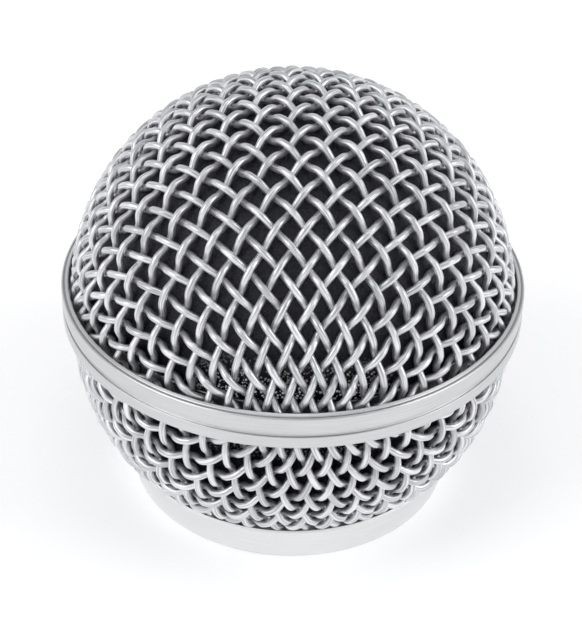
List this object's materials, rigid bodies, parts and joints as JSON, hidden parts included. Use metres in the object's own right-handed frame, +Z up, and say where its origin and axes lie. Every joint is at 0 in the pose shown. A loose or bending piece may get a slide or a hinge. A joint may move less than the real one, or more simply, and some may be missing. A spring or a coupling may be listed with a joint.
{
  "type": "microphone grille head",
  "caption": "Ball-shaped woven-wire grille head of a vocal microphone: a dome and a basket of wire cloth joined by a grooved band, lined with foam, on a threaded collar.",
  "frame": {"origin": "centre of the collar's lower face, where the axis of symmetry meets the surface the head stands on", "axes": "+Z up along the axis of symmetry, from the collar to the top of the dome; -Y towards the viewer"},
  "size_m": [0.051, 0.051, 0.0482],
  "materials": {
    "wire_cloth": "satin",
    "band": "satin",
    "collar": "satin",
    "clamp": "plain",
    "foam": "open-cell foam"
  },
  "bodies": {
    "root": {"dome_mesh": "wire_cloth", "basket_mesh": "wire_cloth", "band_upper_hoop": "band", "band_lower_hoop": "band", "clamp_ring": "clamp", "threaded_collar": "collar", "dome_foam": "foam", "basket_foam": "foam"}
  },
  "joints": []
}
